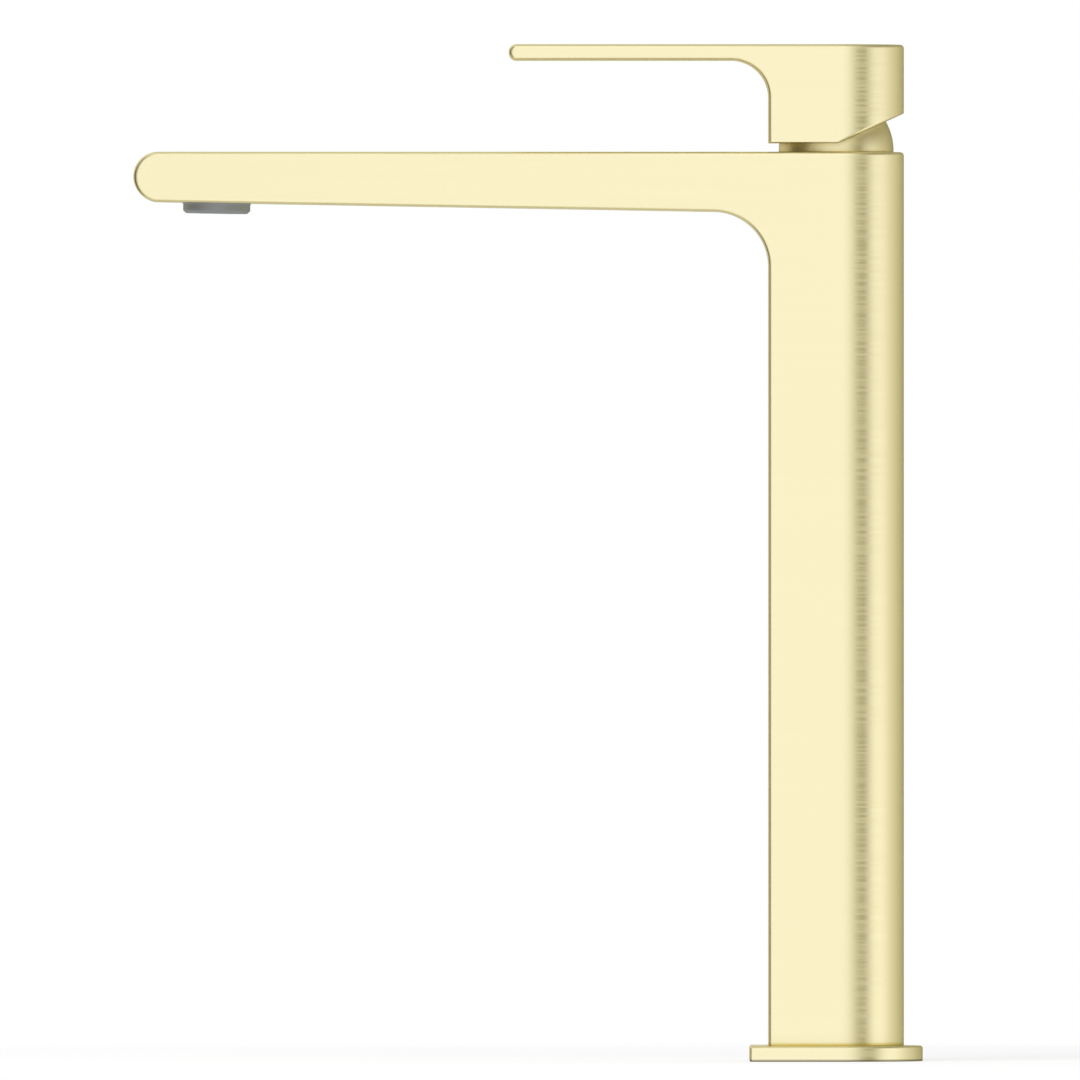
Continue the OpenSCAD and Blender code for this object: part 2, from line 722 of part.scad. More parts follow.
module lever_handle() {
    color(brass_colour) difference() {
        intersection() {
            across(body_w + 2 * cut) lever_side();
            translate([0, 0, hub_z - cut]) linear_extrude(hub_h + 2 * cut) lever_plan();
        }
        translate([0, 0, pivot_z]) sphere(cavity_r, $fn = 128);
        translate([-stem_half - socket_clear, -stem_half - socket_clear, pivot_z])
            cube([stem_w + 2 * socket_clear, stem_w + 2 * socket_clear, stem_top_z - pivot_z + seat_clear]);
        translate([-body_r - lever_fillet, 0, grub_z]) rotate([0, 90, 0])
            cylinder(r = grub_r + seat_clear, h = body_r + lever_fillet - stem_half + cut / 2, $fn = 48);
        translate([-mark_reach, 0, lever_top_z - mark_seat])
            cylinder(r = mark_r + socket_clear, h = cut, $fn = 48);
    }
}

module grub_screw() {
    color(steel_colour) translate([-stem_half - socket_clear - grub_l, 0, grub_z])
        rotate([0, 90, 0]) difference() {
            cylinder(r = grub_r, h = grub_l, $fn = 48);
            translate([0, 0, -cut]) cylinder(d = grub_hex_w / cos(30), h = grub_hex_depth + cut, $fn = 6);
        }
}

// The plug's outer end follows the lever's fillet, set back a little
module screw_plug() {
    color(brass_colour) difference() {
        translate([-body_r - lever_fillet / 2, 0, grub_z]) rotate([0, 90, 0])
            cylinder(r = grub_r, h = lever_fillet / 2 + plug_l, $fn = 48);
        across(4 * grub_r) translate([lever_fillet_x, lever_fillet_z])
            circle(lever_fillet + plug_gap, $fn = 128);
    }
}

// Half of the round mark: side is 1 for the left of someone who faces the spout, -1 for the right
module half_mark(side) {
    translate([-mark_reach, 0, lever_top_z - mark_seat]) intersection() {
        cylinder(r = mark_r, h = mark_seat + mark_proud, $fn = 48);
        translate([-mark_d, side > 0 ? mark_split / 2 : -mark_d, -cut])
            cube([2 * mark_d, mark_d - mark_split / 2, mark_d]);
    }
}

module hot_mark() {
    color(hot_colour) half_mark(1);
}

module cold_mark() {
    color(cold_colour) half_mark(-1);
}

body_casting();
base_plate();
deck_seal();
valve_seat();
seat_o_rings();
seat_lock_ring();
cartridge_base();
port_seals();
fixed_disc();
cartridge_housing();
stop_ring();
retaining_nut();
dome_cover();
dome_seal();
aerator_housing();
aerator_core();
flow_regulator();
aerator_screen();
aerator_seal();
stem_carrier();
pivot_pin();
disc_coupler();
moving_disc();
stem();
lever_handle();
grub_screw();
screw_plug();
hot_mark();
cold_mark();
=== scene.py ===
# %% [markdown]
# # A tall basin mixer in brushed gold
#
# The faucet is a D-shaped column on a thin base plate, a long flat spout that grows out of the column in
# one casting, and a flat lever over a small dome. Everything that shows is pale gold with a fine brushed
# grain. Its pieces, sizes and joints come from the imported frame. The cells below make its finished
# surfaces.

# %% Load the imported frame
import json
import math

import bmesh
import bpy
import numpy as np
from mathutils import Matrix, Vector


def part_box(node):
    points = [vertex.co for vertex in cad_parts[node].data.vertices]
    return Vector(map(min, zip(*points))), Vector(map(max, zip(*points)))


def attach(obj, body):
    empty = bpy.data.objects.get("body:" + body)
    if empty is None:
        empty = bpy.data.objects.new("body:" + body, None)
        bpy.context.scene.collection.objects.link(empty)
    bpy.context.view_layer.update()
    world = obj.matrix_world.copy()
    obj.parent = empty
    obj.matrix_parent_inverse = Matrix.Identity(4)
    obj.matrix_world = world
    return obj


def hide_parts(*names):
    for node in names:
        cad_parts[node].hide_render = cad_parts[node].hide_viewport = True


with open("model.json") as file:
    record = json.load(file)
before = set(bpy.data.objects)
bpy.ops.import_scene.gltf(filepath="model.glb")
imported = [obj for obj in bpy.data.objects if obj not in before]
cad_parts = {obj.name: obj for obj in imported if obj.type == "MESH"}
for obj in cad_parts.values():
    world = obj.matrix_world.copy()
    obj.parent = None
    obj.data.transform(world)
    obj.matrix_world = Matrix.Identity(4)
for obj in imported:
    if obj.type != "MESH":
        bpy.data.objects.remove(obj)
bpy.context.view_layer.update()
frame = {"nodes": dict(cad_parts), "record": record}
MM = 0.001

# %% [markdown]
# ## Sizes
#
# The faucet is drawn in millimetres, and MM turns them into metres. Whatever the frame already knows is
# read from it, so that each finished skin lies on the piece that carries it. Only the sizes that a box
# can't tell are written here: radii, slopes, and the places where one curve becomes another. NEAR is how
# far apart two heights may lie and still be one, and the steps say into how many parts a visible curve and
# a small hole are cut.

# %% Sizes in millimetres


def frame_box(node):
    """The lowest and highest corner of a frame node, in millimetres."""
    low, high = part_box(node)
    return np.array(low) / MM, np.array(high) / MM


body_low, body_high = frame_box("body_casting")
lever_low, lever_high = frame_box("lever_handle")
plate_high = frame_box("base_plate")[1]
seal_high = frame_box("deck_seal")[1]
dome_low = frame_box("dome_cover")[0]

BODY_R = body_high[1]
BODY_TOP = body_high[2]
PLATE_R = plate_high[1]
PLATE_T = body_low[2]
LEVER_TOP = lever_high[2]
HUB_BOTTOM = lever_low[2]

NOSE_R = 7.7
NOSE = np.array([body_low[0] + NOSE_R, BODY_TOP - NOSE_R])
SPOUT_SLOPE = math.radians(1)
SPOUT_FILLET = 17.0
BLADE_T = 4.8
LEVER_FILLET = 11.5
CUT_START = 0.5
CUT_ANGLE = math.radians(24)
PIVOT = 282.3

NEAR = 0.001
FINE_STEPS = 128
SMALL_STEPS = 48
print("column radius", BODY_R, "and top", round(BODY_TOP, 2))
print("lever from", round(HUB_BOTTOM, 2), "to", round(LEVER_TOP, 2))

# %% [markdown]
# ## From arrays to a mesh
#
# Each skin starts as a sharp solid: an outline in one plane, carried along a line or turned round an axis.
# The outline is a numpy array, every ring of points is worked out in one step, and the faces are rows in a
# table of indices. Nothing is dragged into place by hand, so one changed radius redraws the whole piece.

# %% Outlines


def arc(centre, radius, start, end, steps):
    """Points on a circle: centre + radius (cos a, sin a), for even steps of a between two angles."""
    angle = np.radians(np.linspace(start, end, steps + 1))
    return np.array(centre) + radius * np.column_stack([np.cos(angle), np.sin(angle)])


def circle(radius, steps=96):
    """A round outline about the origin."""
    return arc((0, 0), radius, 0, 360, steps)[:-1]


def box_outline(half_x, half_y):
    """A rectangle about the origin."""
    return np.array([[-1, -1], [1, -1], [1, 1], [-1, 1]]) * [half_x, half_y]


def d_outline(radius, steps=96):
    """A D: half a circle behind x = 0, and two straight sides that run forward to a flat front."""
    return np.vstack([arc((0, 0), radius, -90, 90, steps), [[-radius, radius], [-radius, -radius]]])


def slot_outline(width, pitch):
    """Two half circles whose centres are a pitch apart along y, and the straight sides between them."""
    far = arc((0, pitch / 2), width / 2, 0, 180, 32)
    return np.vstack([far, -far])


# %% A mesh from points and faces


def placed(name, data):
    """A new object in the scene, which shows some data at the origin."""
    made = bpy.data.objects.new(name, data)
    bpy.context.scene.collection.objects.link(made)
    return made


def new_piece(name, points, faces):
    """An object from points in millimetres and lists of their indices, welded, with its faces outward."""
    mesh = bpy.data.meshes.new(name)
    mesh.from_pydata((np.asarray(points) * MM).tolist(), [], faces)
    work = bmesh.new()
    work.from_mesh(mesh)
    bmesh.ops.remove_doubles(work, verts=work.verts, dist=1e-7)
    bmesh.ops.delete(work, geom=[edge for edge in work.edges if not edge.link_faces], context="EDGES")
    bmesh.ops.recalc_face_normals(work, faces=work.faces)
    work.to_mesh(mesh)
    work.free()
    return placed(name, mesh)


def bands(rows, columns):
    """Quads between the rings of a grid: row r and r + 1, column c and c + 1, and round to the start."""
    index = np.arange(rows * columns).reshape(rows, columns)
    right = np.roll(index, -1, axis=1)
    return np.stack([index[:-1], right[:-1], right[1:], index[1:]], axis=-1).reshape(-1, 4).tolist()


# %% Prisms, turned pieces and balls


def prism(name, outline, low, high):
    """An outline in x and y, carried straight up from low to high, with flat ends."""
    count = len(outline)
    rings = [np.column_stack([outline, np.full(count, z)]) for z in (low, high)]
    ends = [list(range(count)), list(range(count, 2 * count))]
    return new_piece(name, np.vstack(rings), bands(2, count) + ends)


def lathe(name, profile, steps=FINE_STEPS):
    """A closed profile of (radius, height) turned about z: (radius cos v, radius sin v, height)."""
    turn = np.radians(np.arange(steps) * 360 / steps)
    radius, height = np.vstack([profile, profile[:1]]).astype(float).T
    rings = np.stack([np.outer(radius, np.cos(turn)), np.outer(radius, np.sin(turn)),
                      np.repeat(height[:, None], steps, axis=1)], axis=-1)
    return new_piece(name, rings.reshape(-1, 3), bands(len(radius), steps))


def ball(name, radius, height):
    """A sphere on the z axis: half a circle from pole to pole, turned about z."""
    half = arc((0, height), radius, -90, 90, FINE_STEPS // 2)
    half[[0, -1], 0] = 0
    return lathe(name, half)


def moved(piece, x=0, z=0, tilt=0):
    """Turns a piece's mesh about y by tilt degrees, and then shifts it by x and z millimetres."""
    turn = Matrix.Rotation(math.radians(tilt), 4, "Y")
    piece.data.transform(Matrix.Translation((x * MM, 0, z * MM)) @ turn)
    return piece


# %% [markdown]
# ## Rounded edges and holes
#
# The polisher breaks every edge of the casting by about a millimetre, and those thin rounds carry the dark
# and bright lines that draw the faucet. A Bevel modifier does the same here: each edge that folds by more
# than a set angle gets a weight, and the modifier rounds it by that much. Holes are cut after the edges are
# round. Weighted normals then keep the large flats truly flat beside their narrow rounds.

# %% Measuring and marking edges


def fold_of_edges(mesh):
    """How many degrees each edge folds by: two unit normals that stand at angle a sum to 2 cos(a / 2)."""
    normals = np.empty(len(mesh.polygons) * 3)
    sizes = np.empty(len(mesh.polygons), int)
    edge_of_loop = np.empty(len(mesh.loops), int)
    mesh.polygons.foreach_get("normal", normals)
    mesh.polygons.foreach_get("loop_total", sizes)
    mesh.loops.foreach_get("edge_index", edge_of_loop)
    total = np.zeros((len(mesh.edges), 3))
    np.add.at(total, edge_of_loop, np.repeat(normals.reshape(-1, 3), sizes, axis=0))
    return np.degrees(2 * np.arccos(np.clip(np.linalg.norm(total, axis=1) / 2, 0, 1)))


def edge_middles(mesh):
    """The middle of each edge, in millimetres."""
    ends = np.empty(len(mesh.edges) * 2, int)
    points = np.empty(len(mesh.vertices) * 3)
    mesh.edges.foreach_get("vertices", ends)
    mesh.vertices.foreach_get("co", points)
    return points.reshape(-1, 3)[ends.reshape(-1, 2)].mean(axis=1) / MM


def set_edges(mesh, name, kind, values):
    """Writes one value for each edge into a named attribute."""
    layer = mesh.attributes.get(name) or mesh.attributes.new(name, kind, "EDGE")
    layer.data.foreach_set("value", values)


# %% Rounding edges


def applied(piece):
    """The piece, with its mesh replaced by what its modifiers make of it."""
    graph = bpy.context.evaluated_depsgraph_get()
    mesh = bpy.data.meshes.new_from_object(piece.evaluated_get(graph), preserve_all_data_layers=True,
                                           depsgraph=graph)
    piece.modifiers.clear()
    piece.data = mesh
    return piece


def round_edges(piece, width, weight=lambda middle: 1, fold=40, segments=4):
    """Rounds each edge that folds by more than fold degrees, by width times weight(its middle), in mm."""
    mesh = piece.data
    amount = np.where(fold_of_edges(mesh) > fold, weight(edge_middles(mesh)), 0)
    set_edges(mesh, "bevel_weight_edge", "FLOAT", amount)
    bevel = piece.modifiers.new("rounded edges", "BEVEL")
    bevel.width = width * MM
    bevel.segments = segments
    bevel.limit_method = "WEIGHT"
    bevel.use_clamp_overlap = False
    return applied(piece)


# %% Joining, cutting and smoothing


def combine(piece, operation, *others):
    """Joins, cuts or keeps the overlap of a piece with other solids, which are then deleted."""
    for other in others:
        step = piece.modifiers.new(other.name, "BOOLEAN")
        step.operation = operation
        step.solver = "EXACT"
        step.object = other
    applied(piece)
    for other in others:
        bpy.data.objects.remove(other)
    return piece


SHARP_FOLD = 35


def finished(piece):
    """Smooth shading that leans to the larger face at a corner, and breaks where an edge folds sharply."""
    mesh = piece.data
    mesh.polygons.foreach_set("use_smooth", np.ones(len(mesh.polygons), bool))
    set_edges(mesh, "sharp_edge", "BOOLEAN", fold_of_edges(mesh) > SHARP_FOLD)
    weighted = piece.modifiers.new("weighted normals", "WEIGHTED_NORMAL")
    weighted.weight = 100
    weighted.keep_sharp = True
    applied(piece)
    print(piece.name, "has", len(piece.data.polygons), "faces")
    return piece


# %% [markdown]
# ## The body casting
#
# Column and spout are one casting. From the side it is an L: up the column's front, round a fillet, along
# an underside that rises by one degree, round the nose and back along the flat top. From above it is a D.
# The skin is that side outline carried across the width, closed behind by half a round column.

# %% The side outline of the body


def underside(x):
    """Height of the spout's underside: a line that touches the nose's circle from below."""
    return NOSE[1] - (NOSE_R + math.sin(SPOUT_SLOPE) * (x - NOSE[0])) / math.cos(SPOUT_SLOPE)


def body_outline():
    """Front, fillet, underside and nose as (x, z): straight lines joined by the two arcs that they touch."""
    slope = math.degrees(SPOUT_SLOPE)
    fillet_x = -BODY_R - SPOUT_FILLET
    fillet = (fillet_x, underside(fillet_x) - SPOUT_FILLET / math.cos(SPOUT_SLOPE))
    return np.vstack([[-BODY_R, PLATE_T], arc(fillet, SPOUT_FILLET, 0, 90 - slope, 40),
                      arc(NOSE, NOSE_R, 270 - slope, 90, 60)])


# %% A side outline with a round back


def side_and_back(name, outline, foot, crease=0):
    """A side outline carried across the width in front of x = 0, closed by half a round column behind it.

    The outline runs from the front's foot to the top. The back ends at the height foot(x), which may start
    to rise at a crease behind x = 0.
    """
    lean = math.degrees(math.asin(crease / BODY_R))
    turn = np.linspace(-90, 90, FINE_STEPS + 1)
    bend = round(lean * FINE_STEPS / 180)
    turn[[bend, -1 - bend]] = lean - 90, 90 - lean
    plan = BODY_R * np.column_stack([np.cos(np.radians(turn)), np.sin(np.radians(turn))])
    left = np.insert(outline, 1, -BODY_R, axis=1)
    right = left * [1, -1, 1]
    low = np.column_stack([plan, foot(plan[:, 0])])
    high = np.column_stack([plan, np.full(len(plan), outline[-1, 1])])
    parts = np.cumsum([len(outline), len(outline), len(plan)])
    lefts, rights, lows, highs = np.split(np.arange(parts[-1] + len(plan)), parts)
    rim = np.stack([lefts[:-1], lefts[1:], rights[1:], rights[:-1]], axis=-1)
    wall = np.stack([lows[:-1], lows[1:], highs[1:], highs[:-1]], axis=-1)
    flats = [[*lefts, highs[0], lows[0]], [*rights, highs[-1], lows[-1]], [lefts[-1], *highs, rights[-1]]]
    if crease:
        last = len(lows) - bend
        flats += [[lefts[0], *lows[:bend + 1], *lows[last - 1:], rights[0]], lows[bend:last]]
    else:
        flats.append([lefts[0], *lows, rights[0]])
    faces = [*rim.tolist(), *wall.tolist(), *([int(i) for i in flat] for flat in flats)]
    return new_piece(name, np.vstack([left, right, low, high]), faces)


# %% The body's skin


def level_foot(x):
    """The column's back stands on the plate."""
    return np.full_like(x, PLATE_T)


EDGE_R = 1.1
FOOT_SHARE = 0.2
TIP_EXTRA = 0.4


def fuller_tip(middle, centre, radius):
    """1, growing to a little more round the end of a spout or blade.

    It grows by the square of the distance, so that the edge's inner line never folds back on itself.
    """
    return 1 + TIP_EXTRA * np.clip((centre - middle[:, 0]) / radius, 0, 1) ** 2


def body_weight(middle):
    """Nearly sharp where the column stands on the plate, and a little more than full round the nose."""
    at_foot = middle[:, 2] < PLATE_T + NEAR
    return np.where(at_foot, FOOT_SHARE, fuller_tip(middle, NOSE[0], NOSE_R))


body = round_edges(side_and_back("body_skin", body_outline(), level_foot), EDGE_R, body_weight)
print("the body's side outline has", len(body_outline()), "points")

# %% [markdown]
# The casting is hollow. From below, two hoses and two studs go in through its foot. On top a turned seat
# drops on to a ledge, and the aerator screws into a round pocket under the nose. Each hollow is a plain
# solid of its own, a little longer than the hole that it makes, and is cut out of the skin.

# %% The hollows of the body
COLUMN_BORE = 18.2
WEB = (7.8, 19.8)
LEDGE = (241.28, 245.28)
LEDGE_R = 13.96
SEAT_BORE = 17.3
HOSE_SLOT = (14.4, 15.0)
STUD_HOLE = (2.5, 11.0)
AERATOR_X = -192.0
AERATOR_POCKET = (10.75, 5.3)
WATER_MOUTH = (8.0, 6.6)
OVERRUN = 1.0


def hole(name, outline, low, high):
    """A cutter that runs past both ends of its hole."""
    return prism(name, outline, low - OVERRUN, high + OVERRUN)


def at_outlet(piece):
    """Moves a piece drawn round the z axis to the aerator's seat, square to the sloping underside."""
    return moved(piece, AERATOR_X, underside(AERATOR_X), math.degrees(SPOUT_SLOPE))


stud = circle(STUD_HOLE[0], SMALL_STEPS)
studs = [hole("stud", stud + [side * STUD_HOLE[1], 0], *WEB) for side in (-1, 1)]
combine(body, "DIFFERENCE",
        prism("foot", d_outline(COLUMN_BORE), PLATE_T - OVERRUN, WEB[0]),
        prism("channel", d_outline(COLUMN_BORE), WEB[1], LEDGE[0]),
        hole("slot", slot_outline(*HOSE_SLOT), *WEB),
        hole("ledge", circle(LEDGE_R), *LEDGE),
        prism("seat", circle(SEAT_BORE), LEDGE[1], BODY_TOP + OVERRUN),
        at_outlet(prism("pocket", circle(AERATOR_POCKET[0]), -OVERRUN, AERATOR_POCKET[1])),
        at_outlet(prism("mouth", circle(WATER_MOUTH[0]), 0, WATER_MOUTH[1])), *studs)
finished(body)

# %% [markdown]
# ## The base plate
#
# A thin D under the column, six millimetres wider all round. It is a pressed and polished plate, so its
# upper edge is soft and its lower edge nearly sharp. A short spigot centres it in the column, and a groove
# under it holds the flat rubber seal.

# %% The base plate
PLATE_EDGE = 0.85
DECK_SHARE = 0.4
SPIGOT = (16.6, 18.0)
SEAL_GAP = 0.1
GROOVE_WIDTH = 3.2


def plate_weight(middle):
    """Full width on the upper edge and the upright corners, and less where the plate meets the deck."""
    return np.where(middle[:, 2] < NEAR, DECK_SHARE, 1)


seal_out = seal_high[1] + SEAL_GAP
seal_in = seal_out - GROOVE_WIDTH
sharp_plate = prism("base_plate_skin", d_outline(PLATE_R, FINE_STEPS), 0, PLATE_T)
plate = round_edges(sharp_plate, PLATE_EDGE, plate_weight)
combine(plate, "UNION", prism("spigot", circle(SPIGOT[1]), PLATE_T / 2, plate_high[2]))
groove = combine(prism("groove", d_outline(seal_out), -OVERRUN, seal_high[2] + SEAL_GAP), "DIFFERENCE",
                 prism("island", d_outline(seal_in), -2 * OVERRUN, PLATE_T))
combine(plate, "DIFFERENCE", prism("way", circle(SPIGOT[0]), -OVERRUN, plate_high[2] + OVERRUN), groove)
finished(plate)

# %% [markdown]
# ## The lever
#
# Blade and hub are one piece too. Its side outline goes up the hub's front, round a fillet under the blade,
# and round the blade's tip. Behind, the hub's underside turns up by as much as the lever lifts, so that its
# back edge clears the column. A ball-shaped hollow goes over the dome, with a square socket for the stem
# above it.

# %% The side outline of the lever


def lever_outline():
    """Hub front, fillet, blade and tip as (x, z)."""
    blade = LEVER_TOP - BLADE_T
    fillet = (-BODY_R - LEVER_FILLET, blade - LEVER_FILLET)
    tip = (lever_low[0] + BLADE_T / 2, blade + BLADE_T / 2)
    return np.vstack([[-BODY_R, HUB_BOTTOM], arc(fillet, LEVER_FILLET, 0, 90, 32),
                      arc(tip, BLADE_T / 2, 270, 90, 32)])


def lifted_foot(x):
    """The hub's underside: level, then rising at the lift angle behind the crease."""
    return HUB_BOTTOM + np.maximum(x - CUT_START, 0) * math.tan(CUT_ANGLE)


# %% The lever's skin and its hollows
DOME_CAVITY = 18.5
SOCKET_HALF = 3.55
PLUG_GAP = 0.1
MARK_X = -92.4
MARK_R = 1.9
MARK_SEAT = 0.75
MARK_GAP = 0.05
SLANT_REACH = (CUT_START, 6, 12, 18, BODY_R)
SLANT_SHARE = (0.4, 0.75, 0.75, 0.5, 0.3)
grub_low, grub_high = frame_box("grub_screw")
grub_z = (grub_low[2] + grub_high[2]) / 2
grub_r = (grub_high[2] - grub_low[2]) / 2 + PLUG_GAP
stem_top = frame_box("stem")[1][2]


def lever_weight(middle):
    """Full above, less along the slanted cut and least at its ends, and nearly sharp round the underside."""
    slanted = np.interp(middle[:, 0], SLANT_REACH, SLANT_SHARE)
    under = np.where(middle[:, 0] > CUT_START, slanted, FOOT_SHARE)
    low = middle[:, 2] < lifted_foot(middle[:, 0]) + NEAR
    return np.where(low, under, fuller_tip(middle, lever_low[0] + BLADE_T / 2, BLADE_T / 2))


lever = side_and_back("lever_skin", lever_outline(), lifted_foot, CUT_START)
round_edges(lever, EDGE_R, lever_weight)
screw_way = prism("screw way", circle(grub_r, SMALL_STEPS), -BODY_R - LEVER_FILLET, -SOCKET_HALF + PLUG_GAP)
mark_seat = prism("mark seat", circle(MARK_R + MARK_GAP, SMALL_STEPS), LEVER_TOP - MARK_SEAT,
                  LEVER_TOP + OVERRUN)
combine(lever, "DIFFERENCE", ball("cavity", DOME_CAVITY, PIVOT),
        prism("socket", box_outline(SOCKET_HALF, SOCKET_HALF), PIVOT, stem_top + PLUG_GAP),
        moved(moved(screw_way, tilt=90), z=grub_z), moved(mark_seat, x=MARK_X))
finished(lever)

# %% [markdown]
# ## The domed cover
#
# A turned brass cap that screws on to the seat's neck and hides the cartridge nut. It is part of a ball
# about the lever's pivot, so the hub's hollow slides over it with an even gap. One closed profile, turned
# once round.

# %% The dome
DOME_R = 17.8
DOME_INSIDE = 16.3
DOME_MOUTH = 11.27
DOME_THREAD = 15.75
DOME_GROOVE = (16.225, 17.325, 1.0)
DOME_EDGE = 0.2


def on_ball(radius, reach):
    """The angle, in degrees, at which a ball about the pivot is reach millimetres from the axis."""
    return math.degrees(math.acos(reach / radius))


def dome_profile():
    """Outside of the ball up to the mouth, inside down to the thread, and the seal's groove in the foot."""
    foot = dome_low[2]
    start = math.degrees(math.asin((foot - PIVOT) / DOME_R))
    near, far, depth = DOME_GROOVE
    outside = arc((0, PIVOT), DOME_R, start, on_ball(DOME_R, DOME_MOUTH), 32)
    inside = arc((0, PIVOT), DOME_INSIDE, on_ball(DOME_INSIDE, DOME_MOUTH),
                 on_ball(DOME_INSIDE, DOME_THREAD), 24)
    groove = [[near, foot], [near, foot + depth], [far, foot + depth], [far, foot]]
    return np.vstack([outside, inside, [DOME_THREAD, foot], groove])


dome = finished(round_edges(lathe("dome_skin", dome_profile()), DOME_EDGE, fold=50, segments=3))

# %% [markdown]
# ## The aerator
#
# The ring under the nose is grey, not gold. It is a moulded, satin-plated insert: a turned profile with a
# chamfered foot, and six short notches in its lip for the key that screws it in.

# %% The aerator's ring
AERATOR_R = 10.4
AERATOR_THREAD = 10.65
AERATOR_DROP = 3.3
AERATOR_CHAMFER = 0.9
AERATOR_STEP = 0.25
AERATOR_LIP = (8.2, 1.0)
AERATOR_INSIDE = 8.9
AERATOR_TOP = 4.3
KEY_NOTCHES = 6
KEY_WIDTH = 2.0
AERATOR_EDGE = 0.15


def aerator_profile():
    """Chamfered foot, straight side, a small step up to the thread, and the bore with its lip."""
    foot = -AERATOR_DROP
    lip_r, lip_t = AERATOR_LIP
    return np.array([[AERATOR_R - AERATOR_CHAMFER, foot], [AERATOR_R, foot + AERATOR_CHAMFER],
                     [AERATOR_R, -2 * AERATOR_STEP], [AERATOR_THREAD, -AERATOR_STEP],
                     [AERATOR_THREAD, AERATOR_TOP], [AERATOR_INSIDE, AERATOR_TOP],
                     [AERATOR_INSIDE, foot + lip_t], [lip_r, foot + lip_t], [lip_r, foot]])


def key_notch(index):
    """A short bar from the ring's axis outward, turned to one of the even places round the lip."""
    bar = prism("notch", box_outline(AERATOR_INSIDE / 2, KEY_WIDTH / 2) + [AERATOR_INSIDE / 2, 0],
                -AERATOR_DROP - OVERRUN, AERATOR_LIP[1] - AERATOR_DROP + OVERRUN)
    bar.data.transform(Matrix.Rotation(math.tau * index / KEY_NOTCHES, 4, "Z"))
    return bar


aerator = round_edges(lathe("aerator_ring", aerator_profile()), AERATOR_EDGE, fold=30, segments=3)
combine(aerator, "DIFFERENCE", *[key_notch(i) for i in range(KEY_NOTCHES)])
finished(at_outlet(aerator))

# %% [markdown]
# ## The temperature mark
#
# Near the tip of the blade a button of enamel, hardly wider than a match, shows red for hot on one side and
# blue for cold on the other. Each half is a low crowned disc cut by a block, with a hair of gold between
# them.

# %% The two halves of the mark
MARK_PROUD = 0.15
MARK_RIM = 0.04
MARK_SPLIT = 0.2


def crowned_disc():
    """A disc whose top falls with the square of the distance from its middle."""
    reach = np.linspace(0, MARK_R, 10)
    crown = LEVER_TOP + MARK_PROUD - (MARK_PROUD - MARK_RIM) * (reach / MARK_R) ** 2
    foot = LEVER_TOP - MARK_SEAT
    return lathe("mark", np.vstack([[0, foot], np.column_stack([reach, crown]), [MARK_R, foot]]), 64)


def half_mark(name, side):
    """The half of the disc on one side of the blade's middle line."""
    outline = box_outline(2 * MARK_R, MARK_R) + [0, side * (MARK_R + MARK_SPLIT / 2)]
    block = prism("block", outline, LEVER_TOP - BLADE_T, LEVER_TOP + BLADE_T)
    half = combine(crowned_disc(), "INTERSECT", block)
    half.name = name
    return finished(moved(half, x=MARK_X))


hot = half_mark("hot_half", 1)
cold = half_mark("cold_half", -1)

# %% [markdown]
# ## What rides on what
#
# The frame's bodies carry the finished skins: column, plate, dome and aerator stand still on the root,
# while the lever and its mark ride on the lever's body, which lifts and turns. A skin that stands for a
# frame node hides it, and a table lists the finish that each takes. The inner pieces keep their own meshes
# from the frame.

# %% Riding and replacing, with each skin's finish listed
SKINS = {
    "body_casting": (body, "root", "brushed_gold"), "base_plate": (plate, "root", "brushed_gold"),
    "dome_cover": (dome, "root", "brushed_gold"), "aerator_housing": (aerator, "root", "grey_plastic"),
    "lever_handle": (lever, "lever", "brushed_gold"), "hot_mark": (hot, "lever", "red_enamel"),
    "cold_mark": (cold, "lever", "blue_enamel"),
}
for node_name, (piece, carrier, finish) in SKINS.items():
    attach(piece, carrier)
    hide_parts(node_name)
print(len(SKINS), "finished skins stand for their frame nodes")

# %% [markdown]
# ## Building materials from nodes
#
# Every finish is a small tree of nodes. Helpers keep the trees short: one adds a node and fills its
# sockets, either with a value or with the output of another node, and another starts a material with one
# Principled shader. Patterns read object coordinates, so they stay fixed to the metal when a piece moves.

# %% Starting a material and adding nodes


def add(tree, kind, settings=None, sockets=None):
    """A node with its settings made, and each socket given a value or linked to another node's output."""
    made = tree.nodes.new("ShaderNode" + kind)
    for name, value in (settings or {}).items():
        setattr(made, name, value)
    for name, value in (sockets or {}).items():
        if isinstance(value, bpy.types.NodeSocket):
            tree.links.new(value, made.inputs[name])
        else:
            made.inputs[name].default_value = value
    return made


def start_finish(name, **values):
    """A material with a Principled shader whose uniform values stand on its own sockets."""
    material = bpy.data.materials.new(name)
    material.use_nodes = True
    tree = material.node_tree
    shader = tree.nodes["Principled BSDF"]
    for socket, value in values.items():
        shader.inputs[socket.replace("_", " ")].default_value = value
    return material, tree, shader


# %% Sums


def math_node(tree, operation, *values, clamp=False):
    """One sum on numbers or outputs; gives its result."""
    settings = {"operation": operation, "use_clamp": clamp}
    return add(tree, "Math", settings, dict(enumerate(values))).outputs[0]


def vector_node(tree, operation, *values, scale=None):
    """One sum on vectors, or a vector times scale; gives its result."""
    sockets = dict(enumerate(values))
    if scale is not None:
        sockets["Scale"] = scale
    return add(tree, "VectorMath", {"operation": operation}, sockets).outputs[0]


def weighed_sum(tree, first, share, second, rest):
    """Two outputs, each times its own share, added up."""
    return math_node(tree, "ADD", math_node(tree, "MULTIPLY", first, share),
                     math_node(tree, "MULTIPLY", second, rest))


# %% Noise, blends and bumps


def noise_node(tree, where, scale, detail=2.0, rough=0.5):
    """Noise as a value and a colour, 0 to 1 about one half, with scale cells a metre along x, y and z."""
    spread = add(tree, "Mapping", None, {"Vector": where, "Scale": scale}).outputs[0]
    return add(tree, "TexNoise", None,
               {"Vector": spread, "Scale": 1.0, "Detail": detail, "Roughness": rough}).outputs


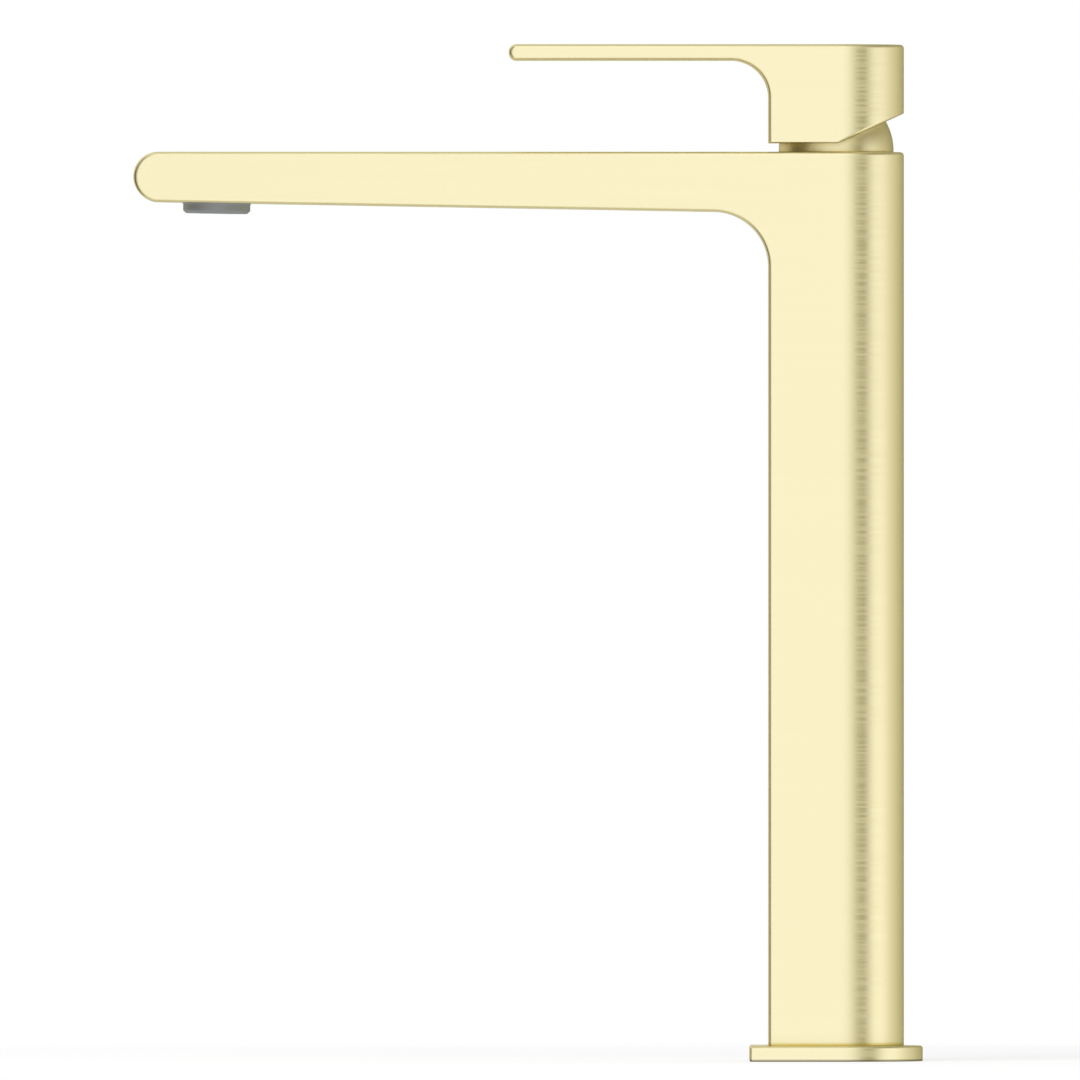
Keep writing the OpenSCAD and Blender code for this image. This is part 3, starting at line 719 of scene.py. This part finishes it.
def noise(tree, where, scale, detail=2.0, rough=0.5):
    """The value of that noise."""
    return noise_node(tree, where, scale, detail, rough)["Fac"]


def swing(tree, value, low, high, start=0.0, end=1.0):
    """Carries a value between start and end to between low and high."""
    span = {"Value": value, "From Min": start, "From Max": end, "To Min": low, "To Max": high}
    return add(tree, "MapRange", None, span).outputs[0]


def blend_colours(tree, share, first, second):
    """A mix of two colours by share."""
    mixed = add(tree, "Mix", {"data_type": "RGBA"}, {0: share, 6: first, 7: second})
    return mixed.outputs[2]


def bump(tree, shader, height, distance):
    """Raises the shader's surface by height times distance, in metres."""
    made = add(tree, "Bump", None, {"Height": height, "Distance": distance, "Strength": 1.0})
    tree.links.new(made.outputs[0], shader.inputs["Normal"])


# %% Ramps


def ramp_of(tree, share, stops):
    """A smooth row of colours: each stop is a place from 0 to 1 and a tone."""
    ramp = add(tree, "ValToRGB", None, {0: share})
    ramp.color_ramp.interpolation = "EASE"
    elements = ramp.color_ramp.elements
    while len(elements) < len(stops):
        elements.new(0.5)
    for element, (place, tone) in zip(elements, stops):
        element.position = place
        element.color = (*tone, 1)
    return ramp.outputs[0]


def number_ramp(tree, share, stops):
    """The same for plain numbers: each stop is a place and a value."""
    return ramp_of(tree, share, [(place, [value] * 3) for place, value in stops])


# %% [markdown]
# ## Brushed gold
#
# The coating is a thin, pale gold film on brushed brass. Brushing leaves fine scratches: level ones round
# the column, and lengthwise ones along the flat tops. Across the scratches a highlight smears out, so the
# shader is anisotropic and its tangent stands across the brushing. One stretched noise is the grain for the
# walls and another for the tops, and the object's own normal chooses between them. The grain swings the
# roughness, leans the normal by a hair and tints the colour. How strongly it bites is set for each
# facing: most where a flat side turns into a round, and slightly everywhere else.

# %% The numbers of the brushing
GOLD = (0.975, 0.90, 0.60, 1.0)
GOLD_WORN = (0.966, 0.890, 0.590, 1.0)
ROUGH = 0.365
ANISOTROPY = 0.3
TOP_FACES = (0.55, 0.85)

GRAIN_ALONG = 14.0
GRAIN_ACROSS = 1900.0
GRAIN_COARSE = 1100.0
GRAIN_RANGE = (0.44, 0.56)
GRAIN_SWING = 0.055
GRAIN_TILT = 0.012
# How square a wall faces the side, and how much of the grain shows there.
BITE = [(0.0, 0.3), (0.7, 0.24), (0.84, 0.26), (0.885, 0.88), (0.96, 0.9), (0.985, 0.17)]

CLOUD = 14.0
TINT_OF_GRAIN = 0.7
TINT_RANGE = (0.3, 0.7)


# %% The grain and its direction


def grain_of(tree, where, facing, across):
    """Stretched noise for walls, where the brushing runs level, and for tops, where it runs lengthwise."""
    walls = noise_node(tree, where, (GRAIN_ALONG, GRAIN_ALONG, across))
    tops = noise_node(tree, where, (GRAIN_ALONG, across, GRAIN_ALONG))
    value = add(tree, "Mix", None, {0: facing, 2: walls["Fac"], 3: tops["Fac"]}).outputs[0]
    return value, blend_colours(tree, facing, walls["Color"], tops["Color"])


def across_grain(tree, facing):
    """The direction across the scratches: up on the walls, and to the side on the tops."""
    local = add(tree, "Mix", {"data_type": "VECTOR"}, {0: facing, 4: (0.0, 0.0, 1.0), 5: (0.0, 1.0, 0.0)})
    return add(tree, "VectorTransform",
               {"vector_type": "VECTOR", "convert_from": "OBJECT", "convert_to": "WORLD"},
               {0: local.outputs[1]}).outputs[0]


# %% The brushed gold finish


def brushed_metal(name, light=GOLD, dark=GOLD_WORN, rough=ROUGH, spread=GRAIN_SWING, tilt=GRAIN_TILT):
    """A film of metal over a brushed ground: grain along each face, and a slow cloud over all of it.

    The grain swings the roughness by up to spread and leans the normal by up to about half of tilt, and by
    an eighth of that up or down. Both are as strong as its bite.
    """
    material, tree, shader = start_finish(name, Metallic=1.0, Anisotropic=ANISOTROPY)
    coordinates = add(tree, "TexCoord").outputs
    where = coordinates["Object"]
    sides = add(tree, "SeparateXYZ", None, {0: coordinates["Normal"]}).outputs
    facing = add(tree, "MapRange", {"interpolation_type": "SMOOTHSTEP"},
                 {"Value": math_node(tree, "ABSOLUTE", sides["Z"]),
                  "From Min": TOP_FACES[0], "From Max": TOP_FACES[1]}).outputs[0]
    bite = number_ramp(tree, math_node(tree, "ABSOLUTE", sides["Y"]), BITE)

    fine, lean = grain_of(tree, where, facing, GRAIN_ACROSS)
    coarse, sway = grain_of(tree, where, facing, GRAIN_COARSE)
    full = weighed_sum(tree, fine, 0.5, coarse, 0.5)
    grain = add(tree, "Mix", None, {0: bite, 2: 0.5, 3: full}).outputs[0]
    roughness = swing(tree, grain, rough - spread, rough + spread, *GRAIN_RANGE)
    tree.links.new(roughness, shader.inputs["Roughness"])

    cloud = noise(tree, where, (CLOUD, CLOUD, CLOUD))
    tint = weighed_sum(tree, grain, TINT_OF_GRAIN, cloud, 1 - TINT_OF_GRAIN)
    colour = blend_colours(tree, swing(tree, tint, 0.0, 1.0, *TINT_RANGE), dark, light)
    tree.links.new(colour, shader.inputs["Base Color"])
    tree.links.new(across_grain(tree, facing), shader.inputs["Tangent"])

    offset = vector_node(tree, "SUBTRACT", vector_node(tree, "ADD", lean, sway), (1.0, 1.0, 1.0))
    bitten = vector_node(tree, "SCALE", offset, scale=bite)
    leaned = vector_node(tree, "MULTIPLY_ADD", bitten, (tilt, tilt, tilt / 8),
                         add(tree, "NewGeometry").outputs["Normal"])
    tree.links.new(vector_node(tree, "NORMALIZE", leaned), shader.inputs["Normal"])
    return material, tree, shader


# %% A band of painted shade


def with_painted_shade_band(finish, start, end, colour):
    """Paints a band of shade in another colour: full up to the height start, and gone at the height end."""
    material, tree, shader = finish
    height = add(tree, "SeparateXYZ", None, {0: add(tree, "TexCoord").outputs["Object"]}).outputs["Z"]
    line = swing(tree, height, 1.0, 0.0, start * MM, end * MM)
    plain = shader.inputs["Base Color"].links[0].from_socket
    tree.links.new(blend_colours(tree, line, plain, colour), shader.inputs["Base Color"])
    return material


# %% Gold on each skin
# The dome's gold is set darker than the rest: painted shade for the gap between hub and column.
DOME_SHADED_GOLD = (0.84, 0.76, 0.47, 1.0)
DOME_SHADED_WORN = (0.80, 0.715, 0.43, 1.0)
# The warm band at the column's foot is painted shade and a painted reflection of the plate in the seam.
FOOT_PAINTED_SHADE = (0.71, 0.58, 0.16, 1.0)
FOOT_SHADE_BAND = (PLATE_T + 0.3, PLATE_T + 1.3)
# The dark band along the plate's lowest edge is a painted contact shadow.
EDGE_PAINTED_SHADOW = (0.33, 0.29, 0.21, 1.0)
EDGE_SHADOW_BAND = (0.4, 0.85)

gold = brushed_metal("brushed gold")[0]
body_gold = with_painted_shade_band(brushed_metal("brushed gold of the body with painted shade at the foot"), *FOOT_SHADE_BAND, FOOT_PAINTED_SHADE)
plate_gold = with_painted_shade_band(brushed_metal("brushed gold of the plate with painted shadow at the edge"), *EDGE_SHADOW_BAND, EDGE_PAINTED_SHADOW)
dome_shaded_gold = brushed_metal("dome gold with painted shade", DOME_SHADED_GOLD, DOME_SHADED_WORN)[0]
for skin, finish in ((body, body_gold), (plate, plate_gold), (dome, dome_shaded_gold), (lever, gold)):
    skin.data.materials.append(finish)
    print(skin.name, "wears", finish.name)

# %% [markdown]
# ## The aerator's satin grey
#
# The ring is plated plastic with a satin skin: a middle grey, slightly cool, with the faint sheen of metal
# but no grain. Fine moulding texture breaks its highlight, and a slow cloud between two near greys keeps it
# from looking flat.

# %% Satin grey plastic
PEBBLE = 2600.0
PEBBLE_SWING = 0.07


def moulded(name, light, dark, rough, depth, **values):
    """A moulded surface: a fine pebble for bump, and a slow cloud between two near colours."""
    material, tree, shader = start_finish(name, **values)
    where = add(tree, "TexCoord").outputs["Object"]
    pebble = noise(tree, where, (PEBBLE, PEBBLE, PEBBLE), 3.0, 0.6)
    cloud = noise(tree, where, (90.0, 90.0, 90.0), 3.0)
    roughness = swing(tree, pebble, rough - PEBBLE_SWING, rough + PEBBLE_SWING)
    tree.links.new(roughness, shader.inputs["Roughness"])
    tree.links.new(blend_colours(tree, cloud, dark, light), shader.inputs["Base Color"])
    bump(tree, shader, pebble, depth)
    return material


satin_grey = moulded("satin grey", (0.33, 0.353, 0.38, 1.0), (0.295, 0.315, 0.34, 1.0), 0.52, 0.00001,
                     Metallic=0.4)
aerator.data.materials.append(satin_grey)
print(aerator.name, "wears", satin_grey.name)

# %% [markdown]
# ## Enamel, rubber, ceramic, acetal and steel
#
# The small and the hidden pieces get materials of their own too, because the faucet can be taken apart.
# Enamel is glossy under a clear coat. Rubber is dark and dull. The discs are dense white alumina, lapped to
# a shine. Acetal is a milky moulding with a little light inside, and the machined pieces show turning
# marks.

# %% Enamel
red_enamel = moulded("red enamel", (0.36, 0.05, 0.06, 1.0), (0.28, 0.035, 0.045, 1.0), 0.3, 0.000004,
                     Coat_Weight=0.6, Coat_Roughness=0.12)
blue_enamel = moulded("blue enamel", (0.06, 0.10, 0.34, 1.0), (0.04, 0.07, 0.26, 1.0), 0.3, 0.000004,
                      Coat_Weight=0.6, Coat_Roughness=0.12)
for half, enamel in ((hot, red_enamel), (cold, blue_enamel)):
    half.data.materials.append(enamel)
    print(half.name, "wears", enamel.name)

# %% Turned and moulded finishes of the inner pieces


def turned_metal(name, light, dark, rough, depth):
    """Machined metal: rings of tool marks round the z axis, made of waves of the distance from it."""
    material, tree, shader = start_finish(name, Metallic=1.0)
    where = add(tree, "TexCoord").outputs["Object"]
    marks = add(tree, "TexWave", {"wave_type": "RINGS", "rings_direction": "Z"},
                {"Vector": where, "Scale": 700.0, "Distortion": 0.6, "Detail": 1.0}).outputs[1]
    cloud = noise(tree, where, (60.0, 60.0, 500.0), 3.0)
    tree.links.new(swing(tree, cloud, rough - 0.08, rough + 0.08), shader.inputs["Roughness"])
    tree.links.new(blend_colours(tree, cloud, dark, light), shader.inputs["Base Color"])
    bump(tree, shader, weighed_sum(tree, marks, 0.5, cloud, 1.0), depth)
    return material


INNER_FINISHES = {
    "machined_brass": turned_metal("machined brass", (0.80, 0.62, 0.30, 1.0), (0.66, 0.48, 0.21, 1.0),
                                   0.3, 0.000006),
    "stainless_steel": turned_metal("stainless steel", (0.66, 0.65, 0.62, 1.0), (0.52, 0.51, 0.49, 1.0),
                                    0.3, 0.000005),
    "black_rubber": moulded("black rubber", (0.030, 0.030, 0.032, 1.0), (0.018, 0.018, 0.019, 1.0),
                            0.62, 0.00002),
    "white_acetal": moulded("white acetal", (0.80, 0.79, 0.76, 1.0), (0.74, 0.73, 0.69, 1.0),
                            0.38, 0.000008, Subsurface_Weight=0.1, Subsurface_Scale=0.002),
    "red_plastic": moulded("red plastic", (0.55, 0.03, 0.025, 1.0), (0.45, 0.02, 0.02, 1.0), 0.4, 0.000008),
    "alumina": moulded("alumina", (0.86, 0.85, 0.82, 1.0), (0.80, 0.79, 0.76, 1.0), 0.12, 0.000002),
    "grey_plastic": satin_grey,
    "gold_plug": brushed_metal("gold plug", rough=0.46, spread=0.08, tilt=0.05)[0],
}

# %% Dress the nodes that keep their frame meshes
for row in frame["record"]["subparts"]:
    if row["node"] not in SKINS:
        mesh = frame["nodes"][row["node"]].data
        mesh.materials.clear()
        mesh.materials.append(INNER_FINISHES[row["material_slot"]])
print("dressed", len(frame["nodes"]) - len(SKINS), "inner nodes in", len(INNER_FINISHES), "finishes")

# %% [markdown]
# ## The camera
#
# A faucet this tall is best drawn square on, with upright edges that stay parallel. A long lens a long way
# off does that: at fifteen metres the near and far edges of the column hardly differ in size. The camera
# looks along +y at the middle of the faucet's side, and the frame is a third of a metre wide.

# %% Camera
FRAME_WIDTH = 0.3348
SENSOR = 36.0
LENS = 1600.0
MIDDLE = Vector((-0.0918, 0.0, 0.1615))

camera_data = bpy.data.cameras.new("camera")
camera_data.sensor_width = SENSOR
camera_data.lens = LENS
camera_data.clip_end = 60
camera = placed("camera", camera_data)
distance = FRAME_WIDTH * LENS / SENSOR
camera.location = MIDDLE - Vector((0, distance, 0))
camera.rotation_euler = (math.radians(90), 0, 0)
bpy.context.scene.camera = camera
print("the camera stands", round(distance, 2), "m away")

# %% [markdown]
# ## A white studio
#
# Polished and brushed metal has no look of its own: it shows the room. So the room is arranged like a
# photographer's white tent. The world is white wherever the camera, a reflection or glass sees it, and
# softer where it only lights. One large soft lamp overhead in front gives form and a shadow, and the pale
# floor keeps that shadow round the foot and fades into the white further out.

# %% World
WHITE = (1.0, 1.0, 1.0, 1.0)
TENT_LIGHT = 0.78


def seen_directly(tree):
    """1 for rays that see a surface straight, in a reflection or through glass, and 0 for light."""
    path = add(tree, "LightPath").outputs
    glossy = math_node(tree, "ADD", path["Is Glossy Ray"], path["Is Transmission Ray"])
    return math_node(tree, "ADD", path["Is Camera Ray"], glossy, clamp=True)


world = bpy.data.worlds.new("white tent")
world.use_nodes = True
bpy.context.scene.world = world
tree = world.node_tree
background = tree.nodes["Background"]
background.inputs["Color"].default_value = WHITE
tree.links.new(swing(tree, seen_directly(tree), TENT_LIGHT, 1.0), background.inputs["Strength"])
print("the tent lights with", TENT_LIGHT, "of the white that it shows")

# %% Key lamp
lamp_data = bpy.data.lights.new("soft lamp", "AREA")
lamp_data.shape = "DISK"
lamp_data.size = 1.1
lamp_data.energy = 14
lamp = placed("soft lamp", lamp_data)
lamp.location = (-0.75, -1.05, 1.55)
lamp.rotation_euler = (MIDDLE - lamp.location).to_track_quat("-Z", "Y").to_euler()
lamp.visible_glossy = False
print("soft lamp", lamp_data.energy, "W at", round((MIDDLE - lamp.location).length, 2), "m")

# %% Floor paper
FADE = (0.15, 0.6)
NEAR_LIFT = 0.6


def blank_paper(name):
    """A material with nothing in its tree yet."""
    material = bpy.data.materials.new(name)
    material.use_nodes = True
    material.node_tree.nodes.clear()
    return material, material.node_tree


floor_paper, tree = blank_paper("floor paper")
where = add(tree, "TexCoord").outputs["Object"]
reach = add(tree, "VectorMath", {"operation": "LENGTH"}, {0: where}).outputs["Value"]
fade = add(tree, "MapRange", {"interpolation_type": "SMOOTHSTEP"},
           {"Value": reach, "From Min": FADE[0], "From Max": FADE[1]}).outputs[0]
matt = add(tree, "BsdfDiffuse", None, {"Color": (0.96, 0.96, 0.96, 1)}).outputs[0]
seen = swing(tree, seen_directly(tree), TENT_LIGHT, 1.0)
glow = add(tree, "Emission", None, {"Color": WHITE, "Strength": seen}).outputs[0]
lift = math_node(tree, "MULTIPLY", seen_directly(tree), NEAR_LIFT)
share = math_node(tree, "MAXIMUM", fade, lift)
mixed = add(tree, "MixShader", None, {0: share, 1: matt, 2: glow}).outputs[0]
tree.links.new(mixed, add(tree, "OutputMaterial").inputs[0])
print("the floor fades into the white between", FADE[0], "and", FADE[1], "m")

# %% Floor
FLOOR_R = 12.0
NEAR_R = 0.13
PAPER_T = 0.01


def floor_disc(name, inner, outer):
    """A flat ring of floor about the origin with its top at z = 0; its profile is a thin rectangle."""
    profile = np.array([[inner, -PAPER_T], [outer, -PAPER_T], [outer, 0], [inner, 0]]) / MM
    disc = lathe(name, profile)
    disc.data.materials.append(floor_paper)
    disc.visible_glossy = False


floor_disc("near_floor", 0, NEAR_R)
floor_disc("far_floor", NEAR_R, FLOOR_R)
print("the floor reaches", FLOOR_R, "m out")

# %% [markdown]
# ## Cards that draw the form
#
# In a plain white room the gold would be one flat tone. So a tall drum of paper stands round the faucet,
# which only reflections see. It is white towards the camera, and graded tones are hung on it at chosen
# bearings: a narrow one in front to the right, which draws the soft dark band down the round back of the
# column, a wide one behind, which darkens its edge, and others on the left for the front edges. One strip
# of colours round the drum is the whole light plan.

# %% The strip of tones
# A tone is a level of light, where 1 is the white of the tent.
# In each row: a bearing in degrees, its tone at eye height, its tone higher up, and the height in degrees at
# which the one starts to turn into the other.
TONES = [
    (-180, (0.80, 0.77, 0.66), (0.60, 0.56, 0.42), 22),
    (-166, (0.52, 0.49, 0.39), (0.60, 0.56, 0.42), 22),
    (-142, (0.72, 0.67, 0.50), (0.85, 0.80, 0.60), 22),
    (-112, (0.66, 0.61, 0.46), (0.85, 0.80, 0.64), 22),
    (-96, (0.05, 0.04, 0.03), (0.80, 0.77, 0.62), 22),
    (-69, (0.03, 0.025, 0.02), (0.20, 0.18, 0.13), 11),
    (-49, (0.75, 0.73, 0.62), (0.20, 0.18, 0.13), 10),
    (-30, (0.92, 0.92, 0.89), (0.62, 0.60, 0.50), 12),
    (-14, (1.05, 1.05, 1.05), (1.02, 1.02, 1.0), 18),
    (20, (1.05, 1.05, 1.05), (1.3, 1.3, 1.25), 18),
    (38, (0.40, 0.38, 0.25), (0.84, 0.81, 0.61), 15),
    (49, (0.22, 0.20, 0.10), (0.36, 0.34, 0.20), 16),
    (58, (0.84, 0.84, 0.77), (0.24, 0.22, 0.13), 14),
    (66, (1.15, 1.15, 1.13), (0.26, 0.24, 0.15), 14),
    (80, (1.13, 1.12, 1.06), (0.26, 0.24, 0.15), 14),
    (110, (0.73, 0.70, 0.55), (0.32, 0.30, 0.20), 16),
    (140, (0.46, 0.44, 0.29), (0.34, 0.32, 0.22), 20),
    (162, (0.29, 0.28, 0.15), (0.30, 0.29, 0.18), 22),
    (175, (0.26, 0.25, 0.14), (0.34, 0.32, 0.20), 22),
    (180, (0.80, 0.77, 0.66), (0.50, 0.47, 0.34), 22),
]
# In each row: a bearing and its tone low down.
LOW_TONES = [
    (-180, (0.74, 0.72, 0.56)), (-60, (0.74, 0.72, 0.56)), (-25, (1.07, 1.07, 1.07)),
    (30, (1.07, 1.07, 1.07)), (60, (0.80, 0.78, 0.62)), (180, (0.74, 0.72, 0.56)),
]
UPPER_SPAN = 18
LOWER_HEIGHTS = (-30, -54)
print("the strip has", len(TONES), "tones round it, and", len(LOW_TONES), "low down")

# %% The drum
DRUM_R = 1.6
DRUM_HALF = 2.4
DRUM_STEPS = 180


def drum(name):
    """A cylinder about z that faces in: (sin b, -cos b) times its radius, for each bearing b.

    Bearings are counted from -y towards +x. The UV map holds them as 0 at -180 degrees and 1 at 180.
    """
    share = np.linspace(0, 1, DRUM_STEPS + 1)
    angle = np.radians(360 * share - 180)
    ring = np.column_stack([np.sin(angle), -np.cos(angle)]) * DRUM_R
    points = np.vstack([np.column_stack([ring, np.full(len(ring), z)]) for z in (-DRUM_HALF, DRUM_HALF)])
    index = np.arange(len(points)).reshape(2, len(ring))
    faces = np.stack([index[0, 1:], index[0, :-1], index[1, :-1], index[1, 1:]], axis=-1)
    mesh = bpy.data.meshes.new(name)
    mesh.from_pydata(points.tolist(), [], faces.tolist())
    uv = mesh.uv_layers.new(name="bearing")
    across = np.tile(share, 2)[faces.ravel()]
    up = np.repeat([0.0, 1.0], len(ring))[faces.ravel()]
    uv.data.foreach_set("uv", np.column_stack([across, up]).ravel())
    return placed(name, mesh)


# %% [markdown]
# The strip is read by two angles. The drum's own UV map gives the bearing, and the height on the drum gives
# how far a reflection looks up or down. The middle row holds at eye height, the upper row takes over from
# the height in its table, and the low tones come in far below. The paper glows, so it needs no lamp.

# %% The strip on the drum


def column_of(rows, which):
    """The stops of a ramp round the drum: each row's bearing as a place from 0 to 1, and one column."""
    return [((row[0] + 180) / 360, row[which]) for row in rows]


strip, tree = blank_paper("strip of tones")
place = add(tree, "SeparateXYZ", None, {0: add(tree, "UVMap", {"uv_map": "bearing"}).outputs[0]}).outputs
middle = ramp_of(tree, place[0], column_of(TONES, 1))
upper = ramp_of(tree, place[0], column_of(TONES, 2))
lower = ramp_of(tree, place[0], column_of(LOW_TONES, 1))
start = number_ramp(tree, place[0], [(stop, height / 90) for stop, height in column_of(TONES, 3)])
steep = math_node(tree, "MULTIPLY", math_node(tree, "SUBTRACT", place[1], 0.5), 2 * DRUM_HALF / DRUM_R)
height = math_node(tree, "DEGREES", math_node(tree, "ARCTANGENT", steep))
above = math_node(tree, "SUBTRACT", height, math_node(tree, "MULTIPLY", start, 90))
rise = swing(tree, above, 0.0, 1.0, 0, UPPER_SPAN)
drop = swing(tree, height, 0.0, 1.0, *LOWER_HEIGHTS)
tone = blend_colours(tree, drop, blend_colours(tree, rise, middle, upper), lower)


def only_reflected(piece, paper, tone):
    """Lines a stage piece with paper that glows in a tone, and lets nothing but reflections see it."""
    glow = add(paper.node_tree, "Emission", None, {"Color": tone, "Strength": 1.0}).outputs[0]
    paper.node_tree.links.new(glow, add(paper.node_tree, "OutputMaterial").inputs[0])
    piece.data.materials.append(paper)
    for ray in ("camera", "diffuse", "shadow", "transmission", "volume_scatter"):
        setattr(piece, "visible_" + ray, False)


only_reflected(drum("paper_drum"), strip, tone)
print("the drum is", 2 * DRUM_R, "m wide and", 2 * DRUM_HALF, "m high")

# %% [markdown]
# A lid closes the drum overhead and another below. The upper one is light on the left and darker on the
# right, and gives the polished rounds along the top edges their thin dark line. The lower one tones the
# undersides.

# %% The lids
# In each row: a place from 0 on the left to 1 on the right, and its tone.
UPPER_LID = [
    (0.0, (0.90, 0.90, 0.82)), (0.45, (0.66, 0.66, 0.50)),
    (0.65, (0.40, 0.38, 0.25)), (1.0, (0.40, 0.38, 0.26)),
]
LOWER_LID = [(0.0, (0.60, 0.57, 0.42)), (1.0, (0.60, 0.57, 0.42))]


def lid(name, height, stops):
    """A disc across the drum, whose tone runs from left to right."""
    low, high = height, height + PAPER_T
    disc = lathe(name, np.array([[0, low], [DRUM_R, low], [DRUM_R, high], [0, high]]) / MM, 64)
    paper, tree = blank_paper(name)
    reach = add(tree, "SeparateXYZ", None, {0: add(tree, "TexCoord").outputs["Object"]}).outputs["X"]
    only_reflected(disc, paper, ramp_of(tree, swing(tree, reach, 0.0, 1.0, -DRUM_R, DRUM_R), stops))


lid("upper_lid", DRUM_HALF, UPPER_LID)
lid("lower_lid", -DRUM_HALF, LOWER_LID)
print("the lids lie", DRUM_HALF, "m above and below")

# %% The view transform
bpy.context.scene.view_settings.view_transform = "Standard"
bpy.context.view_layer.update()
